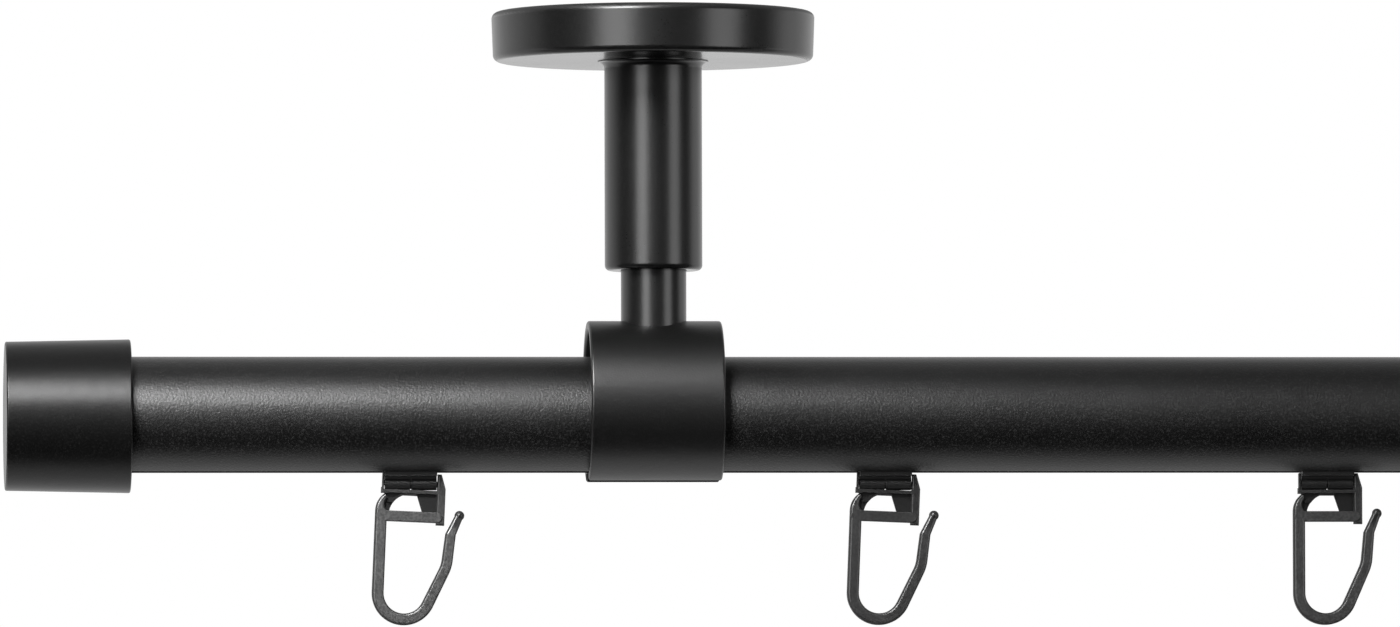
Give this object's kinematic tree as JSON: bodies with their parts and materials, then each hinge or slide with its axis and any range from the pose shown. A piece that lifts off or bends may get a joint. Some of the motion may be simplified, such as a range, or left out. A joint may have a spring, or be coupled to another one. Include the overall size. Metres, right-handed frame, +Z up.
{
  "type": "inner track curtain rod",
  "caption": "Satin black ceiling-mounted curtain rod with an inner track, telescopic ceiling bracket, plain end caps and plastic gliders with curtain hooks",
  "frame": {"origin": "centre of the bracket's screw circle, on the face that lies on the ceiling", "axes": "+Z up into the ceiling along the bracket's axis, +X along the rod to the right as in the picture, -Y towards the viewer; metres"},
  "size_m": [0.265, 0.0544, 0.1031],
  "materials": {
    "tube_coat": "satin",
    "bracket_coat": "satin",
    "cap_coat": "satin",
    "plate_steel": "satin",
    "screw_steel": "satin",
    "glider_plastic": "satin",
    "hook_plastic": "satin"
  },
  "bodies": {
    "bracket": {"ceiling_plate": "plate_steel", "flange_cover": "bracket_coat", "hanger_stud": "plate_steel", "sleeve": "bracket_coat", "sleeve_grub_screw": "screw_steel"},
    "rod": {"stem": "bracket_coat", "ring": "bracket_coat", "ring_screw": "screw_steel", "ring_grub_screw": "screw_steel", "track_tube": "tube_coat", "left_end_cap": "cap_coat", "right_end_cap": "cap_coat", "left_cap_grub_screw": "screw_steel", "right_cap_grub_screw": "screw_steel"},
    "glider_body_1": {"glider_1": "glider_plastic"},
    "hook_body_1": {"hook_1": "hook_plastic"},
    "glider_body_2": {"glider_2": "glider_plastic"},
    "hook_body_2": {"hook_2": "hook_plastic"},
    "glider_body_3": {"glider_3": "glider_plastic"},
    "hook_body_3": {"hook_3": "hook_plastic"}
  },
  "joints": [
    {"name": "height_adjust", "type": "slide", "parent": "bracket", "child": "rod", "axis": [0, 0, 1], "range_m": [-0.01, 0.007]},
    {"name": "glider_1_slide", "type": "slide", "parent": "rod", "child": "glider_body_1", "axis": [1, 0, 0], "range_m": [-0.039, 0.0315]},
    {"name": "hook_1_swing", "type": "hinge", "parent": "glider_body_1", "child": "hook_body_1", "pos_m": [-0.04075, 0, -0.0793], "axis": [0.999, 0, -0.0436], "range_deg": [-60, 60]},
    {"name": "glider_2_slide", "type": "slide", "parent": "rod", "child": "glider_body_2", "axis": [1, 0, 0], "range_m": [-0.0315, 0.0285]},
    {"name": "hook_2_swing", "type": "hinge", "parent": "glider_body_2", "child": "hook_body_2", "pos_m": [0.0391, 0, -0.0793], "axis": [0.9992, 0, -0.0401], "range_deg": [-60, 60]},
    {"name": "glider_3_slide", "type": "slide", "parent": "rod", "child": "glider_body_3", "axis": [1, 0, 0], "range_m": [-0.029, 0.0115]},
    {"name": "hook_3_swing", "type": "hinge", "parent": "glider_body_3", "child": "hook_body_3", "pos_m": [0.1137, 0, -0.0793], "axis": [1, 0, 0], "range_deg": [-60, 60]}
  ]
}
